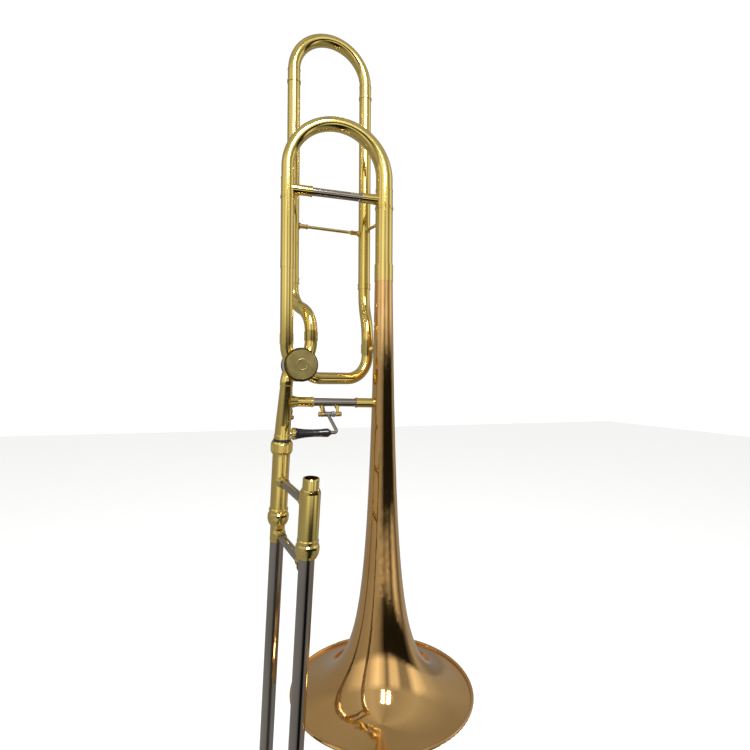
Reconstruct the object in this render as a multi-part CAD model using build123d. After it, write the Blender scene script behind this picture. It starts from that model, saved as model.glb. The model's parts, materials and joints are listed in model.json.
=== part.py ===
"""A tenor trombone with an open-wrap F attachment: bell section, two tuning slides, rotary valve with its
thumb lever, and the full hand slide.

Frame, in millimetres: the origin is the centre of the bell's mouth. +Z runs up the bell's axis, from the mouth
towards the tuning slides, +X from the neckpipe towards the bell, and -Y towards the mouthpiece.
Hand-slide parts are drawn in their own frame: its origin is the middle of the slide receiver's face, local Z
runs up the bell-side tube, and local X runs from that tube to the mouthpiece-side tube.
"""

import math
import os

from build123d import *

os.makedirs("parts", exist_ok=True)

# ---------------------------------------------------------------- driving dimensions, mm
GAP = 0.06                      # running clearance of each sliding tube, all round
WALL = 0.5                      # wall of the brass tubing
BEAD = 0.7                      # how far a receiver's rim stands proud of its tube
GROOVE = 0.4                    # shadow line between a receiver's rim and the slide's ferrule

RIM_R = 107.0                   # bell mouth, to the middle of the rolled rim
FLARE_START = 14.5              # horn law: r = RIM_R * (FLARE_START / (z + FLARE_START)) ** FLARE_POWER
FLARE_POWER = 0.642
BELL_TOP = 494.0                # where the bell ends inside its ferrule
BELL_WALL = 0.7
BEAD_R = 1.9                    # rolled rim
WIRE_R = 1.3                    # wire inside the rim

LEG_GAP = 116.2                 # bell axis to gooseneck axis
NECK_R = 7.7                    # outer tube of the main slide, neckpipe side
BELL_TUBE_R = 10.6              # outer tube of the main slide, bell side
MAIN_JOINT = 577.6              # where the main slide pulls out
MAIN_BOW_START = 599.5          # where its ferrules end and the bow begins
MAIN_BOW_CENTRE = 612.0
LEG_LENGTH = 66.0               # inner legs of both tuning slides

F_LEFT = (-105.2, 37.6)         # axes of the two F-attachment legs
F_RIGHT = (-11.9, 45.2)
F_R = 7.65
F_FOOT = 486.0                  # lower end of the straight F legs
F_JOINT = 735.5
F_BOW_START = 750.0

VALVE = (-101.7, 0.0, 385.4)    # rotor centre, axis along Y
CASING_R, CASING_BORE = 18.5, 16.3
CASING_HALF = 17.0              # half the casing's length
ROTOR_HALF = 12.6
PASSAGE_R = 5.6
PORT_R = 7.3
SPINDLE_R = 3.4
CAP_R = 16.5
STOP_ARM_R = 8.0                # rotor axis to the link's stud
STUD_R = 1.3
BUMPER_DEG, BUMPER_OUT, BUMPER_R = 68.5, 12.5, 2.6   # the stops, either side of +X

HINGE = (-66.6, -6.0, 329.0)    # thumb lever's hinge, axis along X
LEVER_REACH = 34.0              # hinge to the link's lower pin
LEVER_WIRE_R = 1.95
REAR_TIP = -104.6               # where the rear arm ends, just past the link's eye
REAR_WIRE_R = 1.3               # rear arm, where it runs through the link's eye
LINK_R = 2.0
EYE_PLAY = 0.4                  # that eye is a loose fit: the lever's end swings on an arc
GRIP_Y, GRIP_Z = -24.0, 309.7
POST_GAP = 9.0                  # half the distance between the hinge's two posts
POST_EYE = 1.5                  # half the width of a post's eye

RECEIVER = (-120.3, -1.44, 303.5)     # middle of the slide receiver's face
SLIDE_DIR = (0.0328, -0.0914, 1.0)    # up the slide tubes
SLIDE_TURN_DEG = 12.5           # the slide's plane, turned from square to the bell's plane
SLIDE_WIDTH = 90.2              # between the two slide tubes
SLIDE_R = 7.9                   # outer slide tubes
INNER_R, INNER_BORE = 7.25, 6.95
SLIDE_STRAIGHT_END = -769.0     # local height where the slide bow begins
BARREL_R = 9.8
NEAR_BARREL_R = 10.3            # mouthpiece-side barrel
RING_R = 12.0
BRACE_R = 4.75

BELL_BRACE_Z = 341.0            # where the brace meets the bell
BRACE_TILT = 3.0                # its other end is this much higher
MAIN_BRACE_Z = 587.0

X, Y, Z = Vector(1, 0, 0), Vector(0, 1, 0), Vector(0, 0, 1)
BASE = (Align.CENTER, Align.CENTER, Align.MIN)


# ---------------------------------------------------------------- small tools
def rod(start, end, radius, end_radius=None):
    """A round bar, or a cone, from start to end."""
    start, end = Vector(start), Vector(end)
    length = (end - start).length
    if end_radius is None:
        bar = Cylinder(radius, length, align=BASE)
    else:
        bar = Cone(radius, end_radius, length, align=BASE)
    return Plane(origin=start, z_dir=end - start) * bar


def pipe(start, end, outer, inner):
    """A straight tube from start to end."""
    start, end = Vector(start), Vector(end)
    past = (end - start).normalized()
    return rod(start, end, outer) - rod(start - past, end + past, inner)


def swept(path, radius):
    """A round bar along a path."""
    return sweep(Plane(origin=path @ 0, z_dir=path % 0) * Circle(radius), path=path)


def bent_pipe(path, outer, inner):
    """A tube along a path."""
    ring = Circle(outer) - Circle(inner)
    return sweep(Plane(origin=path @ 0, z_dir=path % 0) * ring, path=path)


def turned(points, plane=Plane.XZ):
    """A solid of revolution about Z from (radius, height) points."""
    outline = plane * make_face(Polyline(*points, close=True))
    return revolve(outline, Axis.Z)


def save(name, *shapes):
    """Writes one node, made of one or more separate solids."""
    solids = [s for shape in shapes for s in shape.solids()]
    export_step(Compound(children=solids) if len(solids) > 1 else solids[0], f"parts/{name}.step")


def flare(z):
    """The bell's outer radius at height z."""
    return RIM_R * (FLARE_START / (z + FLARE_START)) ** FLARE_POWER


def flare_inside(z):
    """A point on the bell's inner surface, straight through the wall from height z, as (radius, height)."""
    slope = -FLARE_POWER * flare(z) / (z + FLARE_START)
    across = math.hypot(1, slope)
    return flare(z) - BELL_WALL / across, z + slope * BELL_WALL / across


FLARE_STATIONS = [0, 2, 5, 9, 15, 24, 38, 60, 95, 145, 215, 300, 390, BELL_TOP]


def bell_body(outer_only=False):
    """The bell's wall as a solid of revolution, or the whole space inside its outer surface."""
    outer = [(flare(z), z) for z in FLARE_STATIONS]
    if outer_only:
        inner = [(0.0, 0.0), (0.0, BELL_TOP)]
        back = Polyline((outer[-1]), inner[1], inner[0], outer[0])
        return revolve(Plane.XZ * make_face(Spline(*outer) + back), Axis.Z)
    inner = [flare_inside(z) for z in FLARE_STATIONS]
    sides = Spline(*outer) + Spline(*inner)
    ends = Line(outer[0], inner[0]) + Line(outer[-1], inner[-1])
    return revolve(Plane.XZ * make_face(sides + ends), Axis.Z)


def local(plane, x, z, y=0.0):
    """A point of the hand slide's own frame, in the part's frame."""
    return plane.from_local_coords(Vector(x, y, z))


# ---------------------------------------------------------------- bell
BELL_SPACE = bell_body(outer_only=True)


def make_bell():
    rim = Pos(0, 0, BEAD_R * 0.6) * Torus(RIM_R, BEAD_R)
    groove = Pos(0, 0, BEAD_R * 0.6) * Torus(RIM_R, WIRE_R + 0.05)
    save("bell", bell_body() + rim - groove)
    save("bell_rim_wire", Pos(0, 0, BEAD_R * 0.6) * Torus(RIM_R, WIRE_R))


# ---------------------------------------------------------------- main tuning slide
def bow_sections(left, right, height, left_r, right_r, count=9):
    """Circles round a half-turn bow, growing in radius from its left leg to its right leg."""
    centre, half = (left + right) / 2, (right - left) / 2
    for i in range(count):
        share = i / (count - 1)
        angle = math.pi * (1 - share)
        middle = Vector(centre.X + half.X * math.cos(angle), centre.Y + half.Y * math.cos(angle),
                        height + half.length * math.sin(angle))
        along = Vector(-half.X * math.sin(angle), -half.Y * math.sin(angle), half.length * math.cos(angle))
        radius = left_r + (right_r - left_r) * share ** 1.6
        yield Plane(origin=middle, z_dir=-along) * Circle(radius)


def make_main_slide():
    neck, bell = Vector(-LEG_GAP, 0, 0), Vector(0, 0, 0)
    neck_tube = (pipe(neck + Z * 505, neck + Z * MAIN_JOINT, NECK_R, NECK_R - WALL)
         + pipe(neck + Z * (MAIN_JOINT - 2), neck + Z * MAIN_JOINT, NECK_R + BEAD, NECK_R - WALL))
    bell_tube = (pipe(bell + Z * (BELL_TOP + 0.02), bell + Z * MAIN_JOINT, BELL_TUBE_R,
                                    BELL_TUBE_R - WALL)
         + pipe(bell + Z * (MAIN_JOINT - 2), bell + Z * MAIN_JOINT, BELL_TUBE_R + BEAD, BELL_TUBE_R - WALL))

    f_tubes = []
    for foot in (Vector(*F_LEFT, 0), Vector(*F_RIGHT, 0)):
        tube = pipe(foot + Z * F_FOOT, foot + Z * F_JOINT, F_R, F_R - WALL)
        f_tubes.append(tube + pipe(foot + Z * (F_JOINT - 2.4), foot + Z * F_JOINT, F_R + BEAD, F_R - WALL))
    save("tuning_slide_receivers", neck_tube, bell_tube, *f_tubes)

    legs, ferrules = [], []
    for foot, outer in ((neck, NECK_R), (bell, BELL_TUBE_R)):
        leg = outer - WALL - GAP
        legs.append(pipe(foot + Z * (MAIN_JOINT - LEG_LENGTH), foot + Z * MAIN_BOW_START, leg, leg - 0.4))
        low = MAIN_JOINT + GROOVE
        ferrule = pipe(foot + Z * low, foot + Z * MAIN_BOW_START, outer, leg)
        ferrule += pipe(foot + Z * low, foot + Z * (low + 1.2), outer + 0.4, leg)
        ferrule += pipe(foot + Z * (MAIN_BOW_START - 1), foot + Z * MAIN_BOW_START, outer + 0.2, leg)
        ferrules.append(ferrule)
    save("main_slide_legs", *legs)
    save("main_slide_ferrules", *ferrules)

    left_r, right_r = NECK_R - 0.35, BELL_TUBE_R - 0.35
    outer = loft(list(bow_sections(neck, bell, MAIN_BOW_CENTRE, left_r, right_r)))
    inner = loft(list(bow_sections(neck, bell, MAIN_BOW_CENTRE, left_r - WALL, right_r - WALL)))
    bow = outer - inner
    for foot, radius in ((neck, left_r), (bell, right_r)):
        bow += pipe(foot + Z * MAIN_BOW_START, foot + Z * MAIN_BOW_CENTRE, radius, radius - WALL)
    save("main_slide_bow", bow)

    start, end = neck + Z * MAIN_BRACE_Z, bell + Z * MAIN_BRACE_Z
    tubes = rod(neck + Z * 570, neck + Z * 605, NECK_R) + rod(bell + Z * 570, bell + Z * 605, BELL_TUBE_R)
    save("main_slide_brace", pipe(start + X * 22, end - X * 26, BRACE_R, BRACE_R - 0.8))
    sockets = []
    for foot, sign, length in ((start, 1, 28), (end, -1, 29)):
        socket = pipe(foot, foot + X * sign * length, BRACE_R + 1.1, BRACE_R + 0.02)
        flange = pipe(foot, foot + X * sign * (length - 15.5), BRACE_R + 1.6, BRACE_R - 1.5)
        lip = pipe(foot + X * sign * (length - 2), foot + X * sign * length, BRACE_R + 1.5, BRACE_R + 0.02)
        sockets.append(socket + flange + lip - tubes - rod(start + X * 22, end - X * 26, BRACE_R + 0.01))
    save("main_slide_brace_sockets", *sockets)


# ---------------------------------------------------------------- F attachment
def f_ferrule(foot, low, high, radius, inner):
    """A ferrule on an F-attachment tube, with a thin raised ring at each edge."""
    foot = Vector(*foot, 0)
    ferrule = pipe(foot + Z * low, foot + Z * high, radius, inner)
    for edge in (low, high - 1):
        ferrule += pipe(foot + Z * edge, foot + Z * (edge + 1), radius + 0.3, inner)
    return ferrule


def make_f_slide():
    left, right = Vector(*F_LEFT, 0), Vector(*F_RIGHT, 0)
    leg_r = F_R - WALL - GAP
    save("f_slide_legs", *[pipe(foot + Z * (F_JOINT - LEG_LENGTH), foot + Z * F_BOW_START, leg_r, leg_r - 0.4)
                           for foot in (left, right)])
    save("f_slide_ferrules", *[f_ferrule(foot, F_JOINT + GROOVE, F_BOW_START, F_R, leg_r)
                               for foot in (F_LEFT, F_RIGHT)])
    top = ThreePointArc(left + Z * F_BOW_START,
                        (left + right) / 2 + Z * (F_BOW_START + (right - left).length / 2),
                        right + Z * F_BOW_START)
    save("f_slide_bow", bent_pipe(top, F_R - 0.3, F_R - 0.3 - WALL))


S_TOP, S_FOOT = 482.0, 426.0          # the left tube's double bend, between these heights
F_IN = (-87.6, 4.0)                   # below it, beside the valve
RETURN_TOP, RETURN_FOOT = 482.0, 418.0
F_OUT = (-13.0, 25.0)                 # the return tube before its quarter bend
RUN_Z = 370.5                         # the return tube's level run to the valve
RUN_END = (-77.0, 3.0, RUN_Z)


def double_bend(upper, lower, top, foot):
    """An S-shaped path from one vertical tube to another, as two equal arcs."""
    a, b = Vector(*upper, top), Vector(*lower, foot)
    middle = (a + b) / 2
    first = TangentArc(a, middle, tangent=-Z)
    second = TangentArc(middle, b, tangent=first % 1)
    return first + second


def make_f_tubes():
    outer, inner = F_R - 0.25, F_R - 0.25 - WALL
    left = double_bend(F_LEFT, F_IN, S_TOP, S_FOOT)
    drop = pipe((*F_IN, S_FOOT), (*F_IN, 414.0), outer, inner)
    lead = pipe((*F_LEFT, F_FOOT), (*F_LEFT, S_TOP), outer, inner)
    save("f_inlet_bend", lead + bent_pipe(left, outer, inner) + drop)

    right = double_bend(F_RIGHT, F_OUT, RETURN_TOP, RETURN_FOOT)
    lead = pipe((*F_RIGHT, F_FOOT), (*F_RIGHT, RETURN_TOP), outer, inner)
    drop = pipe((*F_OUT, RETURN_FOOT), (*F_OUT, 409.0), outer, inner)
    save("f_return_upper", lead + bent_pipe(right, outer, inner) + drop)
    corner = FilletPolyline((*F_OUT, 409.0), (*F_OUT, RUN_Z), RUN_END, radius=29.0)
    save("f_return_bend", bent_pipe(corner, outer - 0.3, inner - 0.3))

    ferrules = [f_ferrule(foot, low, high, radius, F_R + 0.02 if low > 470 else outer + 0.02)
                for foot, low, high, radius in ((F_LEFT, 486.0, 493.0, F_R + 0.5), (F_RIGHT, 486.0, 493.0, F_R + 0.5),
                                                (F_IN, 414.5, 424.0, F_R + 0.25), (F_OUT, 402.0, 413.0, F_R + 0.3))]
    ferrules[3] = pipe((*F_OUT, 402.0), (*F_OUT, 413.0), F_R + 0.3, outer + 0.02)
    save("f_tube_ferrules", *ferrules)

    # cross brace between the two legs, with a turned socket at each end
    left, right = Vector(*F_LEFT, 558.0), Vector(*F_RIGHT, 558.0)
    way = (right - left).normalized()
    reach = F_R - 0.5
    socket = turned([(0, 0), (4.4, 0), (4.4, 0.6), (2.8, 3.2), (2.6, 8.6), (3.1, 9.6), (3.1, 10.8), (2.2, 11.8), (0, 11.8)])
    brace = rod(left + way * (reach + 5), right - way * (reach + 5), 1.9)
    for end, sign in ((left, 1), (right, -1)):
        foot = end + way * sign * reach
        brace += Plane(origin=foot, z_dir=way * sign) * socket - rod(end - Z * 9, end + Z * 9, F_R)
    stays = [brace]

    # short stays from the right-hand tube to the bell tube
    for foot, height, tube_r, post_r in ((F_RIGHT, 562.0, F_R, 2.0), (F_OUT, 407.0, F_R + 0.3, 2.2)):
        a, b = Vector(*foot, height), Vector(0, 0, height)
        way = (b - a).normalized()
        bell_r = BELL_TUBE_R if height > BELL_TOP else flare(height)
        stay = rod(a, b, post_r) + rod(a + way * tube_r, a + way * (tube_r + 2.5), 4.2, post_r)
        stay += rod(b - way * (bell_r + 2.5), b - way * bell_r * 0.8, post_r, 4.6)
        stay -= rod(a - Z * 9, a + Z * 9, tube_r)
        stay -= BELL_SPACE if height < BELL_TOP else rod(b - Z * 9, b + Z * 9, BELL_TUBE_R)
        stays.append(stay.solids().sort_by(SortBy.VOLUME)[-1])
    save("f_stays", *stays)


# ---------------------------------------------------------------- rotary valve
def valve_disc(low, high, radius):
    """A disc on the rotor's axis, between two distances along Y."""
    return rod((VALVE[0], low, VALVE[2]), (VALVE[0], high, VALVE[2]), radius)


def valve_ring(low, high, outer, inner):
    return pipe((VALVE[0], low, VALVE[2]), (VALVE[0], high, VALVE[2]), outer, inner)


def around_valve(angle_deg, radius, y=0.0):
    """A point round the rotor's axis; the angle runs from +X towards +Z."""
    angle = math.radians(angle_deg)
    return Vector(VALVE[0] + radius * math.cos(angle), y, VALVE[2] + radius * math.sin(angle))


GOOSE_FOOT = 409.0                    # the gooseneck tube's lower end
NECKPIPE_TOP = 60.5                   # the neckpipe's upper end, above the receiver's face
NECKPIPE_LEAN = 1.5
NECKPIPE_R = 6.8                      # at its upper end; it widens towards the slide
SEAL_TOP = -1.4                       # the rubber seal fills the gap below the neckpipe's foot


def neckpipe_line(slide):
    """The neckpipe's own frame: it leans a little more towards the bell than the slide does."""
    top = local(slide, 0, NECKPIPE_TOP) + X * NECKPIPE_LEAN
    return Plane(origin=RECEIVER, x_dir=slide.x_dir, z_dir=top - Vector(RECEIVER))


def port_paths(slide):
    """The four knuckles: each leaves its tube straight and turns into the casing."""
    pipe_line = neckpipe_line(slide)
    return {
        "neck": TangentArc(pipe_line.from_local_coords(Vector(0, 0, NECKPIPE_TOP)), around_valve(214, 13.5, -1.5),
                           tangent=pipe_line.z_dir),
        "goose": TangentArc(Vector(-LEG_GAP, 0, GOOSE_FOOT), around_valve(146, 13.5), tangent=-Z),
        "f_in": TangentArc(Vector(*F_IN, 414.0), around_valve(48, 13.5, 0.5), tangent=-Z),
        "f_out": TangentArc(Vector(RUN_END), around_valve(-42, 13.5, 1.0),
                            tangent=Vector(RUN_END) - Vector(*F_OUT, RUN_Z)),
    }


def make_valve(slide):
    paths = port_paths(slide)
    casing = valve_disc(-CASING_HALF, CASING_HALF, CASING_R)
    casing += valve_ring(-CASING_HALF, -CASING_HALF + 3, CASING_R + 0.5, 1)
    casing += valve_ring(CASING_HALF - 3, CASING_HALF, CASING_R + 0.5, 1)
    radii = {"neck": PORT_R, "goose": PORT_R, "f_in": PORT_R, "f_out": PORT_R - 0.3}
    for name, path in paths.items():
        casing += swept(path, radii[name])
    for name, path in paths.items():
        casing -= swept(path, radii[name] - WALL - 0.4)
    casing -= valve_disc(-CASING_HALF - 1, CASING_HALF + 1, CASING_BORE)
    casing = casing.solids().sort_by(SortBy.VOLUME)[-1]
    save("rotor_casing", casing)

    rotor = valve_disc(-ROTOR_HALF, ROTOR_HALF, CASING_BORE - GAP)
    rotor += valve_disc(-CASING_HALF - 2, 25.0, SPINDLE_R - GAP)
    corner = CASING_BORE * math.sqrt(2)
    for side in (-1, 1):
        centre = Vector(VALVE[0] + side * corner, 0, VALVE[2])
        rotor -= Plane(origin=centre, z_dir=Y) * Torus(CASING_BORE, PASSAGE_R)
    save("rotor", rotor.solids().sort_by(SortBy.VOLUME)[-1])

    fit = CASING_BORE - 0.01
    save("rotor_bearings", valve_ring(-CASING_HALF, -ROTOR_HALF - 0.15, fit, SPINDLE_R),
         valve_ring(ROTOR_HALF + 0.15, CASING_HALF, fit, SPINDLE_R))

    cap = valve_disc(-CASING_HALF - 8.5, -CASING_HALF - 0.02, CAP_R)
    cap -= valve_disc(-CASING_HALF - 6.5, -CASING_HALF + 1, CAP_R - 2.2)
    cap = chamfer(cap.faces().sort_by(Axis.Y)[0].outer_wire().edges(), 0.5)
    cap += Plane(origin=(VALVE[0], -CASING_HALF - 8.5, VALVE[2]), z_dir=-Y) * Torus(5.9, 0.75)
    key = Plane(origin=(VALVE[0], -CASING_HALF - 7.6, VALVE[2]), z_dir=-Y) * Rot(0, 0, 45)
    cap -= key * extrude(RectangleRounded(6.2, 6.2, 0.6), 3)
    for i in range(36):
        cap -= Pos(*around_valve(i * 10, CAP_R + 0.25, -CASING_HALF - 4)) * Rot(90, 0, 0) * Cylinder(0.55, 5.5)
    save("rotor_cap", cap)

    plate = valve_ring(CASING_HALF + 0.02, CASING_HALF + 2.2, CASING_R - 0.3, SPINDLE_R + 4)
    bumpers = []
    for angle in (BUMPER_DEG, -BUMPER_DEG):
        low, high = CASING_HALF + 3.4, CASING_HALF + 7.6
        plate += rod(around_valve(angle, BUMPER_OUT, CASING_HALF + 2), around_valve(angle, BUMPER_OUT, high), 1.2)
        plate += rod(around_valve(angle, BUMPER_OUT, CASING_HALF + 2), around_valve(angle, BUMPER_OUT, low), 3.0)
        bumpers.append(pipe(around_valve(angle, BUMPER_OUT, low + 0.02), around_valve(angle, BUMPER_OUT, high),
                            BUMPER_R, 1.22))
    save("stop_plate", plate)
    save("stop_bumpers", *bumpers)

    # the stop arm: one lug between the bumpers, one arm to the link's stud
    low, high = CASING_HALF + 3.7, CASING_HALF + 7.2
    hub = valve_disc(low, high, 4.8)
    for angle, reach, width in ((45, BUMPER_OUT, 4.4), (225, STOP_ARM_R, 5.0)):
        middle = around_valve(angle, reach / 2, low)
        lug = Plane(origin=middle, x_dir=around_valve(angle, 1) - Vector(VALVE), z_dir=Y)
        hub += lug * extrude(SlotCenterToCenter(reach, width), high - low)
    hub -= valve_disc(low - 1, high + 1, SPINDLE_R - GAP + 0.01)
    stud = around_valve(225, STOP_ARM_R, high - 0.5)
    hub += rod(stud, stud + Y * 7.3, STUD_R)
    hub += Pos(stud.X, high + 7.4, stud.Z) * Sphere(1.9)
    save("stop_arm", hub)
    screw = valve_disc(25.02, 27.0, 3.3) - Pos(VALVE[0], 27.0, VALVE[2]) * Box(7, 1.4, 0.9)
    save("stop_arm_screw", screw)


def make_neck(slide):
    top = Vector(-LEG_GAP, 0, 505.0)
    save("gooseneck_tube", pipe((-LEG_GAP, 0, GOOSE_FOOT), top, NECK_R - 0.3, NECK_R - 0.3 - WALL))
    bell_joint = pipe((0, 0, 488.0), (0, 0, 508.5), BELL_TUBE_R + 0.8, BELL_TUBE_R + 0.02) - BELL_SPACE
    save("joint_ferrules", bell_joint,
         pipe((-LEG_GAP, 0, GOOSE_FOOT), (-LEG_GAP, 0, 421.0), NECK_R + 0.1, NECK_R - 0.28),
         pipe((-LEG_GAP, 0, 496.0), (-LEG_GAP, 0, 504.98), NECK_R + 0.1, NECK_R - 0.28))

    outline = [(8.0, 2.0), (8.8, 2.0), (8.7, 14), (NECKPIPE_R, NECKPIPE_TOP - 2.2), (7.3, NECKPIPE_TOP - 1.8),
               (7.3, NECKPIPE_TOP - 0.4), (7.0, NECKPIPE_TOP), (6.1, NECKPIPE_TOP), (7.55, 26)]
    foot = turned([(8.35, SEAL_TOP), (9.2, SEAL_TOP), (9.2, 2.6), (8.9, 3.4), (8.35, 3.4)])
    save("neckpipe", neckpipe_line(slide).location * turned(outline) + slide.location * foot)
    save("receiver_seal", slide.location * turned([(7.9, SEAL_TOP), (9.9, SEAL_TOP), (9.9, -3.8), (7.9, -3.8)]))


# ---------------------------------------------------------------- bell brace and thumb lever
def make_bell_brace(slide):
    end = Vector(0, 0, BELL_BRACE_Z)
    line = neckpipe_line(slide)
    start = line.from_local_coords(Vector(0, 0, (BELL_BRACE_Z + BRACE_TILT - RECEIVER[2]) / line.z_dir.Z))
    way = (end - start).normalized()
    neck = line.location * turned([(0, 14), (8.7, 14), (NECKPIPE_R, NECKPIPE_TOP - 2.2), (0, NECKPIPE_TOP - 2.2)])
    near, far = start + way * 20, end - way * 20
    save("bell_brace", pipe(near, far, BRACE_R, BRACE_R - 0.8))
    sockets = []
    for foot, sign, length in ((start, 1, 32), (end, -1, 35)):
        out = way * sign
        socket = pipe(foot, foot + out * length, BRACE_R + 0.85, BRACE_R + 0.02)
        socket += pipe(foot + out * (length - 2), foot + out * length, BRACE_R + 1.3, BRACE_R + 0.02)
        socket += rod(foot + out * 5, foot + out * 14, BRACE_R + 3.2, BRACE_R + 0.85)
        socket -= rod(near, far, BRACE_R + 0.01)
        socket = socket - (neck if sign > 0 else BELL_SPACE)
        sockets.append(socket.solids().sort_by(SortBy.VOLUME)[-1])
    save("bell_brace_sockets", *sockets)

    # two posts under the brace hold the hinge pin
    hx, hy, hz = HINGE
    posts = []
    for x in (hx - POST_GAP, hx + POST_GAP):
        foot = start + (end - start) * ((x - start.X) / (end.X - start.X))
        post = rod((x, hy, hz), foot, POST_EYE, 2.4) + rod((x - POST_EYE, hy, hz), (x + POST_EYE, hy, hz), 3.0)
        post += rod(foot - Z * (BRACE_R + 2.2), foot, 2.6, 3.2)
        post -= rod(start, end, BRACE_R) + rod((x - 4, hy, hz), (x + 4, hy, hz), 1.3)
        posts.append(post.solids().sort_by(SortBy.VOLUME)[-1])
    save("lever_hinge_posts", *posts)
    ends = []
    for sign in (-1, 1):
        low, high = sorted(sign * (POST_GAP + POST_EYE + reach) for reach in (0.3, 3.1))
        ends.append([(1.28, low), (2.3, low), (2.9, low + 0.8), (2.9, high - 0.8), (2.3, high), (1.28, high)])
    left, right = ends
    outline = [(0, left[0][1]), *left[1:5], (1.28, left[4][1]), (1.28, right[0][1]), *right[1:5], (0, right[4][1])]
    axle = Plane(origin=HINGE, x_dir=Z, z_dir=X)
    save("lever_hinge_pin", axle.location * turned(outline))


def rear_end():
    """The rear arm's end at rest, as (y, z): as far below the hinge as it rises above it when pressed."""
    drop = STOP_ARM_R * math.sin(math.radians(45))
    return HINGE[1] + math.sqrt(LEVER_REACH ** 2 - drop ** 2), HINGE[2] - drop


def make_lever():
    hx, hy, hz = HINGE
    pin_y, pin_z = rear_end()
    barrel = rod((hx - 7.0, hy, hz), (hx + 1.2, hy, hz), 2.9) + rod((hx + 1.2, hy, hz), (hx + 7.0, hy, hz), 2.2)
    # the rear arm dips under the bell brace, steps up behind it, passes the link and comes back through its eye
    side, turn = hx - 4.2, -114.0
    rear = FilletPolyline((side, hy, hz), (side, hy + 14, hz + 3.5), (side, hy + 20, hz + 10), (turn, 17.0, hz + 12.5),
                          (turn, pin_y, pin_z), (REAR_TIP, pin_y, pin_z), radius=2.8)
    front = FilletPolyline((hx - 2.5, hy, hz), (-61.5, GRIP_Y, GRIP_Z), (-114.2, GRIP_Y, GRIP_Z), radius=3.2)
    lever = barrel + swept(rear, REAR_WIRE_R) + swept(front, LEVER_WIRE_R)
    lever += rod((REAR_TIP - 0.2, pin_y, pin_z), (REAR_TIP + 0.8, pin_y, pin_z), 2.1)
    lever -= rod((hx - 8, hy, hz), (hx + 8, hy, hz), 1.28 + GAP)
    save("thumb_lever", lever)

    # turned thumb roller: wide at the neck end, waisted, a chamfer at the other end
    bore = LEVER_WIRE_R + 0.03
    outline = [(bore, 0), (2.6, 0), (4.85, 3.2), (4.75, 5), (4.2, 13), (4.15, 20), (4.7, 29), (5.7, 36), (6.4, 38.8),
               (6.4, 39.4), (bore, 39.4)]
    lathe = Plane(origin=(-69.4, GRIP_Y, GRIP_Z), x_dir=Z, z_dir=-X)
    save("thumb_roller", lathe.location * turned(outline))
    nut = [(bore, 39.5), (6.6, 39.5), (6.8, 41.0), (6.4, 42.9), (4.4, 44.0), (bore, 44.0)]
    save("thumb_roller_nut", lathe.location * turned(nut))

    # light torsion spring round the barrel
    turns, wire, pitch = 4.0, 0.42, 1.05
    coil = Helix(pitch=pitch, height=pitch * turns, radius=3.0)
    coil = Plane(origin=(hx + 1.9, hy, hz), x_dir=Y, z_dir=X) * coil
    spring = sweep(Plane(origin=coil @ 0, z_dir=coil % 0) * Circle(wire), path=coil)
    save("lever_spring", spring)


def make_link():
    """The rod from the lever's rear arm up to the stud on the rotor's stop arm."""
    stud = around_valve(225, STOP_ARM_R)
    y, low_z = HINGE[1] + LEVER_REACH * 0.993, rear_end()[1]
    low, high = Vector(stud.X, y, low_z), Vector(stud.X, y, stud.Z)
    link = rod(low, high, LINK_R)
    link += rod(high - Y * 1.6, high + Y * 1.6, 3.0) + rod(low - X * 2.2, low + X * 2.2, 3.2)
    link += rod(low + Z * 5, low + Z * 9, 2.5) + rod(high - Z * 15, high - Z * 11, 2.5)
    link -= rod(high - Y * 4, high + Y * 4, STUD_R + GAP)
    link -= rod(low - X * 4, low + X * 4, REAR_WIRE_R + EYE_PLAY)
    save("link_rod", link.solids().sort_by(SortBy.VOLUME)[-1])


# ---------------------------------------------------------------- hand slide, in its own frame
def slide_pair(shape):
    """The same piece on both slide tubes."""
    return shape, Pos(SLIDE_WIDTH, 0, 0) * shape


def knurled_ring(top, height, radius, bore, grooves=40):
    """A turned ring with a knurled band and a plain bead above and below."""
    edge = 2.2
    ring = turned([(bore, top), (radius - 1.2, top), (radius - 0.4, top - edge), (radius, top - edge - 0.6),
                   (radius, top - height + edge + 0.6), (radius - 0.4, top - height + edge),
                   (radius - 1.4, top - height), (bore, top - height)])
    cut = Cylinder(0.5, height - 2 * edge - 2)
    for i in range(grooves):
        angle = 2 * math.pi * i / grooves
        ring -= Pos((radius + 0.2) * math.cos(angle), (radius + 0.2) * math.sin(angle), top - height / 2) * cut
    return ring


def barrel_ring():
    """The ring at a barrel's foot: a bead, a waist and a full round belly, with a lip inside."""
    top, foot, bore, full = RING_TOP, RING_FOOT, BARREL_R + 0.05, RING_R
    outline = [(bore, top), (full - 1.7, top), (full - 1.2, top - 1.2), (full - 1.2, top - 3.0), (full - 1.8, top - 4.6),
               (full - 0.5, top - 6.4), (full, top - 8.6), (full, top - 12.2), (full - 0.6, top - 15.2),
               (full - 2.1, foot), (SLIDE_R + 1.3, foot), (SLIDE_R + 1.3, foot + 3), (bore, foot + 3)]
    return turned(outline)


INNER_BRACE_Z, OUTER_BRACE_Z = -49.0, -110.5
RING_TOP, RING_FOOT = -81.0, -99.4
INNER_FOOT = -752.0
STOCKING = 110.0


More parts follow.
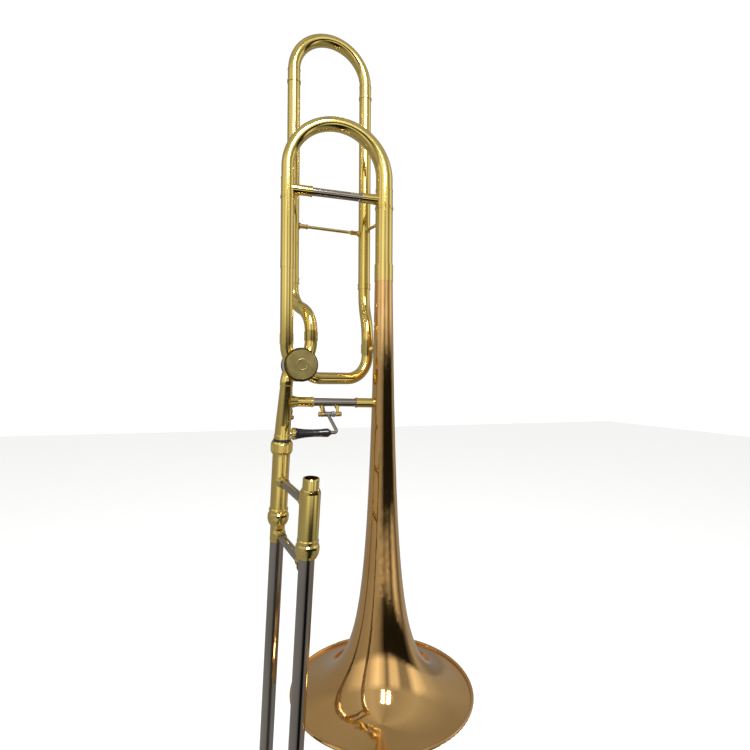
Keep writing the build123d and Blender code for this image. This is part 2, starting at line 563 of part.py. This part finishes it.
def make_inner_slide(place):
    nut = knurled_ring(-4.0, 14.0, 12.3, 9.75)
    save("lock_nut", place * nut)
    foot = RING_FOOT + 4
    save("barrel_bell_side", place * turned([(9.2, -18.4), (9.2, foot), (BARREL_R, foot), (BARREL_R, -20.5),
                                              (9.7, -18.4)]))
    save("slide_tenon", place * turned([(INNER_R + 0.02, -4.0), (9.6, -4.0), (9.6, -18.3), (9.15, -18.3),
                                        (9.15, -30), (INNER_R + 0.02, -30)]))
    save("barrel_mouthpiece_side", place * Pos(SLIDE_WIDTH, 0, 0) * turned(
        [(9.2, -34.5), (9.2, foot), (BARREL_R, foot), (BARREL_R, RING_TOP + 0.2), (NEAR_BARREL_R, RING_TOP + 0.2),
         (NEAR_BARREL_R, -35.6), (9.8, -33.4), (7.75, -33.4), (7.75, -34.5)]))
    receiver = turned([(6.75, -21.2), (7.6, -21.0), (8.15, -21.8), (8.15, -31.4), (8.8, -31.8), (9.2, -33.3),
                       (7.7, -33.3), (7.7, -60.0), (6.05, -60.0), (6.05, -46.0)])
    save("mouthpiece_receiver", place * Pos(SLIDE_WIDTH, 0, 0) * receiver)
    save("leadpipe", place * Pos(SLIDE_WIDTH, 0, 0) * turned(
        [(5.45, -60.1), (6.0, -60.1), (6.9, -230.0), (6.4, -230.0)]))

    tube = turned([(INNER_BORE, -30.1), (INNER_R, -30.1), (INNER_R, INNER_FOOT + STOCKING),
                   (SLIDE_R - 0.42, INNER_FOOT + STOCKING - 2), (SLIDE_R - 0.42, INNER_FOOT), (INNER_BORE, INNER_FOOT)])
    near_tube = turned([(INNER_BORE, -60.1), (INNER_R, -60.1), (INNER_R, INNER_FOOT + STOCKING),
                        (SLIDE_R - 0.42, INNER_FOOT + STOCKING - 2), (SLIDE_R - 0.42, INNER_FOOT),
                        (INNER_BORE, INNER_FOOT)])
    save("inner_tubes", place * tube, place * Pos(SLIDE_WIDTH, 0, 0) * near_tube)

    corks = pipe((0, 0, -70.0), (0, 0, -62.0), 9.1, INNER_R + 0.3)
    save("barrel_corks", *[place * c for c in slide_pair(corks)])

    tubes = rod((0, 0, -90), (0, 0, -20), BARREL_R) + rod((SLIDE_WIDTH, 0, -90), (SLIDE_WIDTH, 0, -20), NEAR_BARREL_R)
    save("inner_brace", place * pipe((14, 0, INNER_BRACE_Z), (SLIDE_WIDTH - 14, 0, INNER_BRACE_Z), 4.6, 3.8))
    save("inner_brace_sockets", *[place * s for s in brace_sockets(INNER_BRACE_Z, 4.6, tubes)])

    save("barrel_end_ring", place * barrel_ring())
    save("slide_lock_ring", place * Pos(SLIDE_WIDTH, 0, 0) * barrel_ring())


def brace_sockets(height, radius, tubes):
    """Turned sockets that hold a slide brace to its two tubes."""
    sockets = []
    for x, sign in ((0, 1), (SLIDE_WIDTH, -1)):
        foot = Vector(x, 0, height)
        out = X * sign
        socket = rod(foot, foot + out * 17, radius + 0.8)
        socket += rod(foot + out * 6, foot + out * 12.5, radius + 3.4, radius + 0.8)
        socket += rod(foot + out * 15.6, foot + out * 17, radius + 1.2)
        socket -= rod(Vector(13.9, 0, height), Vector(SLIDE_WIDTH - 13.9, 0, height), radius + 0.01)
        sockets.append((socket - tubes).solids().sort_by(SortBy.VOLUME)[-1])
    return sockets


TUBE_TOP = -84.0
BOW_R = SLIDE_WIDTH / 2


def make_outer_slide(place):
    tube = pipe((0, 0, SLIDE_STRAIGHT_END), (0, 0, TUBE_TOP), SLIDE_R, SLIDE_R - 0.35)
    save("outer_tubes", *[place * t for t in slide_pair(tube)])
    top = turned([(SLIDE_R + 0.02, RING_FOOT + 1.0), (SLIDE_R + 0.4, RING_FOOT + 1.0), (SLIDE_R + 0.4, -119.4),
                  (SLIDE_R + 0.02, -119.8)])
    tubes = (rod((0, 0, -130), (0, 0, -90), SLIDE_R + 0.4)
             + rod((SLIDE_WIDTH, 0, -130), (SLIDE_WIDTH, 0, -90), SLIDE_R))
    save("outer_brace", place * pipe((14, 0, OUTER_BRACE_Z), (SLIDE_WIDTH - 14, 0, OUTER_BRACE_Z), 4.6, 3.8))
    save("outer_brace_sockets", *[place * s for s in brace_sockets(OUTER_BRACE_Z, 4.6, tubes)])

    low = turned([(SLIDE_R + 0.02, SLIDE_STRAIGHT_END + 26), (SLIDE_R + 0.7, SLIDE_STRAIGHT_END + 26),
                  (SLIDE_R + 0.9, SLIDE_STRAIGHT_END + 24), (SLIDE_R + 0.9, SLIDE_STRAIGHT_END + 0.02),
                  (SLIDE_R + 0.02, SLIDE_STRAIGHT_END + 0.02)])
    save("outer_tube_ferrules", place * top, *[place * f for f in slide_pair(low)])
    turn = ThreePointArc((0, 0, SLIDE_STRAIGHT_END), (BOW_R, 0, SLIDE_STRAIGHT_END - BOW_R),
                         (SLIDE_WIDTH, 0, SLIDE_STRAIGHT_END))
    bow = bent_pipe(turn, SLIDE_R + 0.5, SLIDE_R - 0.35)
    save("slide_bow", place * (bow - swept_hole()))

    pad_turn = Plane(origin=(BOW_R, 0, SLIDE_STRAIGHT_END), x_dir=X, z_dir=-Y) * CenterArc((0, 0), BOW_R, 245, 50)
    shell = sweep(Plane(origin=pad_turn @ 0, z_dir=pad_turn % 0) * (Circle(SLIDE_R + 2.4) - Circle(SLIDE_R + 0.52)),
                  path=pad_turn)
    keep = Pos(BOW_R, 0, SLIDE_STRAIGHT_END - BOW_R - 10) * Box(80, 30, 18)
    save("bow_bumper", place * (shell & keep))


WATER_ANGLE = 205                     # the water key's place round the bow, seen from the key's side


def bow_point(angle_deg, radius, y=0.0):
    """A point round the slide bow in its own plane."""
    angle = math.radians(angle_deg)
    return Vector(BOW_R + radius * math.cos(angle), y, SLIDE_STRAIGHT_END + radius * math.sin(angle))


def swept_hole():
    """The water hole, drilled outwards through the bow's wall."""
    return rod(bow_point(WATER_ANGLE, BOW_R), bow_point(WATER_ANGLE, BOW_R + 12), 2.4)


def make_water_key(place):
    out = (bow_point(WATER_ANGLE, 2) - bow_point(WATER_ANGLE, 1)).normalized()
    along = Vector(out.Z, 0, -out.X)              # up the bow, towards the straight tube
    if along.Z < 0:
        along = along * -1
    surface = bow_point(WATER_ANGLE, BOW_R + SLIDE_R + 0.5)
    nipple = pipe(surface - out * 0.6, surface + out * 1.6, 4.4, 2.4)
    tube_space = swept(CenterPath(), SLIDE_R + 0.5)
    nipple = (nipple - tube_space).solids().sort_by(SortBy.VOLUME)[-1]

    pivot = surface + out * 4.4 + along * 16
    posts = []
    for side in (-1, 1):
        foot = pivot + Y * side * 4.4
        posts.append((rod(foot - out * 8, foot + out * 1.6, 1.7)
                      - tube_space
                      - rod(pivot - Y * 8, pivot + Y * 8, 0.85)).solids().sort_by(SortBy.VOLUME)[-1])
    save("water_key_saddle", place * nipple, *[place * p for p in posts])
    save("water_key_pin", place * rod(pivot - Y * 6.6, pivot + Y * 6.6, 0.8))

    cup = surface + out * 1.65
    save("water_key_cork", place * rod(cup, cup + out * 1.9, 4.0))
    lever = rod(pivot - Y * 2.4, pivot + Y * 2.4, 2.1)
    lever += rod(cup + out * 1.92, cup + out * 3.4, 4.7)
    lever += rod(cup + out * 4.2, pivot + out * 0.3, 1.3)
    lever += rod(pivot + out * 0.3, pivot + along * 15 + out * 4.5, 1.3)
    touch = pivot + along * 17 + out * 4.9
    lever += rod(touch - out * 0.8, touch + out * 0.8, 4.2)
    lever -= rod(pivot - Y * 8, pivot + Y * 8, 0.86)
    save("water_key_lever", place * lever.solids().sort_by(SortBy.VOLUME)[-1])


def CenterPath():
    """The middle line of the slide bow with a stretch of the straight tube before it."""
    turn = ThreePointArc((0, 0, SLIDE_STRAIGHT_END), (BOW_R, 0, SLIDE_STRAIGHT_END - BOW_R),
                         (SLIDE_WIDTH, 0, SLIDE_STRAIGHT_END))
    return Line((0, 0, SLIDE_STRAIGHT_END + 60), (0, 0, SLIDE_STRAIGHT_END)) + turn


def main():
    up = Vector(SLIDE_DIR).normalized()
    turn = math.radians(SLIDE_TURN_DEG)
    towards = Vector(math.sin(turn), -math.cos(turn), 0)
    towards = (towards - up * towards.dot(up)).normalized()
    slide = Plane(origin=RECEIVER, x_dir=towards, z_dir=up)
    make_bell()
    make_main_slide()
    make_f_slide()
    make_f_tubes()
    make_valve(slide)
    make_neck(slide)
    make_bell_brace(slide)
    make_lever()
    make_link()
    make_inner_slide(slide.location)
    make_outer_slide(slide.location)
    make_water_key(slide.location)


main()
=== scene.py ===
"""Looks for the trombone: materials, a pale studio and the camera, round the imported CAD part."""

import json
import math

import bpy
from mathutils import Matrix, Vector


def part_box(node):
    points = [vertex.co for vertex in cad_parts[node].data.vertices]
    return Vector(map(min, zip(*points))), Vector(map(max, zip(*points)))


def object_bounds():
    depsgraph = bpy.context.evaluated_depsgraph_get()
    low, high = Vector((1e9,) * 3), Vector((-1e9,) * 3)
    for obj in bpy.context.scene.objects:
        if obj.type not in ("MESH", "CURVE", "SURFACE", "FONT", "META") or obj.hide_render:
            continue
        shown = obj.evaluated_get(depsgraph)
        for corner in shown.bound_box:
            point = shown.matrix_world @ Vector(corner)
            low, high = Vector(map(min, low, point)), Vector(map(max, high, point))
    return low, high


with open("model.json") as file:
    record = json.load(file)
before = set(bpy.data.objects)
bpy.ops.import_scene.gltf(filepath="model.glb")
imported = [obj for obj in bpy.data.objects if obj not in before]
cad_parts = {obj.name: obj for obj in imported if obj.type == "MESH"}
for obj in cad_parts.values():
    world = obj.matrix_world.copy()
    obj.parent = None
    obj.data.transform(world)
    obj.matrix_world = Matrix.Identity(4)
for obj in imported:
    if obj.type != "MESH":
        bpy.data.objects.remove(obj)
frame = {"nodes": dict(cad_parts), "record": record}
cad_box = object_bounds()
nodes = frame["nodes"]


# ---------------------------------------------------------------- materials
class Shader:
    """A node material with one Principled shader, built a step at a time."""

    def __init__(self, name, **constants):
        self.material = bpy.data.materials.new(name)
        self.material.use_nodes = True
        self.tree = self.material.node_tree
        self.bsdf = self.tree.nodes["Principled BSDF"]
        self.coords = self.add("ShaderNodeTexCoord").outputs["Object"]
        for socket, value in constants.items():
            self.bsdf.inputs[socket.replace("_", " ")].default_value = value

    def add(self, kind, **settings):
        node = self.tree.nodes.new(kind)
        for name, value in settings.items():
            setattr(node, name, value)
        return node

    def link(self, output, target):
        self.tree.links.new(output, target)

    def noise(self, scale, detail=3.0, stretch=(1, 1, 1)):
        """Noise over the object's own coordinates, which are metres in the part's frame."""
        mapping = self.add("ShaderNodeMapping")
        mapping.inputs["Scale"].default_value = stretch
        self.link(self.coords, mapping.inputs["Vector"])
        texture = self.add("ShaderNodeTexNoise")
        texture.inputs["Scale"].default_value = scale
        texture.inputs["Detail"].default_value = detail
        self.link(mapping.outputs["Vector"], texture.inputs["Vector"])
        return texture.outputs["Fac"]

    def ramp(self, fac, stops):
        """A colour ramp from (place, colour) stops."""
        ramp = self.add("ShaderNodeValToRGB")
        elements = ramp.color_ramp.elements
        while len(elements) < len(stops):
            elements.new(0.5)
        for element, (place, colour) in zip(elements, stops):
            element.position = place
            element.color = (*colour, 1.0)
        self.link(fac, ramp.inputs["Fac"])
        return ramp.outputs["Color"]

    def range(self, fac, low, high):
        """A value that runs from low to high with fac."""
        node = self.add("ShaderNodeMapRange")
        node.inputs["To Min"].default_value = low
        node.inputs["To Max"].default_value = high
        self.link(fac, node.inputs["Value"])
        return node.outputs["Result"]

    def bump(self, heights, strength, distance):
        """Bump from one or more heights, laid on top of each other."""
        last = None
        for height in heights:
            node = self.add("ShaderNodeBump")
            node.inputs["Strength"].default_value = strength
            node.inputs["Distance"].default_value = distance
            self.link(height, node.inputs["Height"])
            if last is not None:
                self.link(last, node.inputs["Normal"])
            last = node.outputs["Normal"]
        self.link(last, self.bsdf.inputs["Normal"])


def polished_metal(name, tone, deep, rough=(0.07, 0.15), coat=0.5, haze=0.0006):
    """Lacquered tube metal: slow colour drift, faint drawing lines along Z, and a little hand wear."""
    shader = Shader(name, Metallic=1.0, Coat_Weight=coat, Coat_Roughness=0.05, Coat_IOR=1.48)
    drift = shader.noise(9.0, 4.0)
    shader.link(shader.ramp(drift, [(0.32, deep), (0.68, tone)]), shader.bsdf.inputs["Base Color"])
    wear = shader.noise(60.0, 6.0)
    shader.link(shader.range(wear, *rough), shader.bsdf.inputs["Roughness"])
    lines = shader.noise(900.0, 2.0, stretch=(1, 1, 0.02))
    peel = shader.noise(160.0, 2.0)
    shader.bump([lines, peel], 0.12, haze * 0.1)
    return shader.material


def moulded(name, tone, deep, rough, scale, coat=0.0, height=0.0002):
    """Plastic, cork or rubber: mottled colour and a fine grain."""
    shader = Shader(name, Coat_Weight=coat, Coat_Roughness=0.12)
    grain = shader.noise(scale, 5.0)
    shader.link(shader.ramp(grain, [(0.3, deep), (0.7, tone)]), shader.bsdf.inputs["Base Color"])
    shader.link(shader.range(shader.noise(scale * 0.3), *rough), shader.bsdf.inputs["Roughness"])
    shader.bump([grain], 0.25, height)
    return shader.material


WAVE_SCALE = 0.314  # scale times spacing of the wave texture's rings, in metres


def turned_face(name, tone, deep, axis_x, axis_z, pitch=0.0009):
    """Satin metal faced on a lathe: fine rings round a centre line along Y."""
    shader = Shader(name, Metallic=1.0, Coat_Weight=0.3, Coat_Roughness=0.2)
    mottle = shader.noise(70.0, 5.0)
    shader.link(shader.ramp(mottle, [(0.3, deep), (0.7, tone)]), shader.bsdf.inputs["Base Color"])
    shader.link(shader.range(shader.noise(220.0), 0.26, 0.40), shader.bsdf.inputs["Roughness"])
    place = shader.add("ShaderNodeMapping")
    place.inputs["Location"].default_value = (-axis_x, 0.0, -axis_z)
    shader.link(shader.coords, place.inputs["Vector"])
    rings = shader.add("ShaderNodeTexWave", wave_type="RINGS", rings_direction="Y")
    rings.inputs["Scale"].default_value = WAVE_SCALE / pitch
    rings.inputs["Distortion"].default_value = 0.4
    shader.link(place.outputs["Vector"], rings.inputs["Vector"])
    shader.bump([rings.outputs["Fac"]], 0.15, 0.00005)
    return shader.material


finishes = {
    "brass": polished_metal("yellow_brass", (0.86, 0.66, 0.20), (0.74, 0.54, 0.13)),
    "rose_brass": polished_metal("rose_brass", (0.84, 0.51, 0.19), (0.76, 0.43, 0.14), rough=(0.05, 0.10)),
    "nickel_silver": polished_metal("nickel_silver", (0.47, 0.42, 0.37), (0.36, 0.32, 0.28), coat=0.2),
    "steel": polished_metal("spring_steel", (0.60, 0.60, 0.61), (0.48, 0.48, 0.50), rough=(0.2, 0.35),
                            coat=0.0),
    "black_plastic": moulded("black_plastic", (0.010, 0.010, 0.011), (0.004, 0.004, 0.005), (0.16, 0.3),
                             500.0, coat=0.4),
    "cork": moulded("cork", (0.62, 0.44, 0.27), (0.38, 0.24, 0.13), (0.75, 0.95), 900.0),
    "rubber": moulded("rubber", (0.030, 0.030, 0.031), (0.014, 0.014, 0.014), (0.5, 0.7), 700.0),
}
for part in frame["record"]["subparts"]:
    nodes[part["node"]].material_slots[0].material = finishes[part["material_slot"]]
cap_low, cap_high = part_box("rotor_cap")
cap_middle = (Vector(cap_low) + Vector(cap_high)) / 2
nodes["rotor_cap"].material_slots[0].material = turned_face(
    "turned_brass", (0.62, 0.50, 0.20), (0.46, 0.36, 0.13), cap_middle.x, cap_middle.z)


# ---------------------------------------------------------------- studio
# How bright the room is, which is what polished metal mirrors. A place is a direction's turn round Z:
# 0 at -X, 0.25 at -Y, 0.5 at +X and 0.75 at +Y. Each list is one belt's (place, brightness) stops.
CEILING = [(0.0, 0.42), (0.13, 0.60), (0.25, 0.36), (0.45, 0.5), (0.6, 0.3), (1.0, 0.42)]
UPPER_WALL = [(0.0, 0.70), (0.06, 0.95), (0.09, 0.55), (0.165, 1.35), (0.21, 0.80), (0.243, 0.22),
              (0.275, 0.95), (0.317, 0.95), (0.35, 0.30), (0.40, 0.32), (0.452, 1.10), (0.522, 0.55),
              (0.583, 0.38), (0.727, 0.28), (0.93, 0.32), (1.0, 0.70)]
EYE_LEVEL = [(0.0, 0.34), (0.10, 0.42), (0.165, 0.30), (0.205, 0.10), (0.225, 0.012), (0.45, 0.012),
             (0.49, 0.16), (0.53, 0.45), (0.60, 0.22), (0.70, 0.28), (1.0, 0.34)]
LOWER_WALL = [(0.0, 0.34), (0.10, 0.40), (0.195, 1.05), (0.24, 0.75), (0.29, 1.10), (0.345, 0.15),
              (0.394, 1.05), (0.474, 0.14), (0.55, 0.42), (0.70, 0.28), (1.0, 0.34)]
GROUND = [(0.0, 0.34), (0.16, 0.30), (0.225, 0.16), (0.25, 0.012), (0.33, 0.012), (0.36, 0.14), (0.42, 0.30),
          (0.55, 0.24), (0.70, 0.30), (1.0, 0.34)]
# Each belt fades in between two heights on a unit sphere, over what is below it. GROUND is under them all.
BELTS = [(-0.46, -0.38, LOWER_WALL), (-0.24, -0.18, EYE_LEVEL), (0.07, 0.16, UPPER_WALL),
         (0.52, 0.66, CEILING)]
FLOOR_GAP = 0.01


def studio_floor(low, reach=8.0):
    """A plain pale floor just under the part. Metal mirrors the room instead of it."""
    data = bpy.data.meshes.new("studio_floor")
    z = low - FLOOR_GAP
    corners = [(-reach, -reach, z), (reach, -reach, z), (reach, reach, z), (-reach, reach, z)]
    data.from_pydata(corners, [], [(0, 1, 2, 3)])
    floor = bpy.data.objects.new("studio_floor", data)
    bpy.context.scene.collection.objects.link(floor)
    paper = moulded("studio_paper", (0.90, 0.90, 0.89), (0.88, 0.88, 0.87), (0.8, 0.9), 40.0)
    data.materials.append(paper)
    floor.visible_glossy = False


class Room:
    """The world: a plain white backdrop that lights the scene, and a room of belts for metal to mirror."""

    def __init__(self, backdrop):
        world = bpy.data.worlds.new("studio")
        bpy.context.scene.world = world
        world.use_nodes = True
        self.tree = world.node_tree
        self.tree.nodes.clear()
        split = self.add("ShaderNodeSeparateXYZ")
        self.link(self.add("ShaderNodeTexCoord").outputs["Generated"], split.inputs["Vector"])
        angle = self.add("ShaderNodeMath", operation="ARCTAN2")
        self.link(split.outputs["Y"], angle.inputs[0])
        self.link(split.outputs["X"], angle.inputs[1])
        turn = self.range(angle.outputs[0], -math.pi, math.pi)
        colour = self.ramp(turn, GROUND)
        for low, high, stops in BELTS:
            blend = self.add("ShaderNodeMix", data_type="RGBA")
            self.link(self.range(split.outputs["Z"], low, high), blend.inputs["Factor"])
            self.link(colour, blend.inputs["A"])
            self.link(self.ramp(turn, stops), blend.inputs["B"])
            colour = blend.outputs["Result"]
        room = self.add("ShaderNodeBackground")
        self.link(colour, room.inputs["Color"])
        plain = self.add("ShaderNodeBackground")
        plain.inputs["Color"].default_value = (1.0, 1.0, 1.0, 1.0)
        plain.inputs["Strength"].default_value = backdrop
        mix = self.add("ShaderNodeMixShader")
        self.link(self.add("ShaderNodeLightPath").outputs["Is Glossy Ray"], mix.inputs["Fac"])
        self.link(plain.outputs["Background"], mix.inputs[1])
        self.link(room.outputs["Background"], mix.inputs[2])
        self.link(mix.outputs["Shader"], self.add("ShaderNodeOutputWorld").inputs["Surface"])

    def add(self, kind, **settings):
        node = self.tree.nodes.new(kind)
        for name, value in settings.items():
            setattr(node, name, value)
        return node

    def link(self, output, target):
        self.tree.links.new(output, target)

    def range(self, value, low, high):
        node = self.add("ShaderNodeMapRange")
        node.inputs["From Min"].default_value = low
        node.inputs["From Max"].default_value = high
        self.link(value, node.inputs["Value"])
        return node.outputs["Result"]

    def ramp(self, fac, stops):
        node = self.add("ShaderNodeValToRGB")
        elements = node.color_ramp.elements
        while len(elements) < len(stops):
            elements.new(0.5)
        for element, (place, level) in zip(elements, stops):
            element.position = place
            element.color = (level, level, level * 0.98, 1.0)
        self.link(fac, node.inputs["Fac"])
        return node.outputs["Color"]


def softbox(name, place, target, size, power, mirrored=False):
    """A rectangular area light at place, facing target. Only a mirrored one shows in the metal."""
    light = bpy.data.lights.new(name, "AREA")
    light.shape = "RECTANGLE"
    light.size, light.size_y = size
    light.energy = power
    lamp = bpy.data.objects.new(name, light)
    lamp.location = place
    lamp.rotation_euler = (Vector(target) - Vector(place)).to_track_quat("-Z", "Y").to_euler()
    lamp.visible_glossy = mirrored
    bpy.context.scene.collection.objects.link(lamp)


studio_floor(cad_box[0].z)
Room(backdrop=1.05)
middle = (0.0, 0.0, 0.25)
softbox("key", (-2.2, -1.4, 1.8), middle, (1.2, 2.0), 14)
softbox("top", (0.2, 0.6, 3.0), middle, (3.0, 3.0), 16)
for side in (-1, 1):
    softbox("window", (-0.12 + 0.14 * side, -1.1, 1.35), middle, (0.12, 0.55), 7, mirrored=True)
# Shows the colours as they are set, with no film curve.
bpy.context.scene.view_settings.view_transform = "Standard"

# ---------------------------------------------------------------- camera
camera_data = bpy.data.cameras.new("camera")
camera_data.sensor_width = 36.0
camera_data.lens = 22.52
camera_data.clip_start = 0.01
camera = bpy.data.objects.new("camera", camera_data)
forward = Vector((0.29833, 0.95441, 0.00994))
right = Vector((0.95442, -0.29839, 0.00601))
up = right.cross(forward)
turn = Matrix((right, up, -forward)).transposed()
camera.matrix_world = Matrix.Translation((-0.1791, -0.5397, 0.36924)) @ turn.to_4x4()
bpy.context.scene.collection.objects.link(camera)
bpy.context.scene.camera = camera
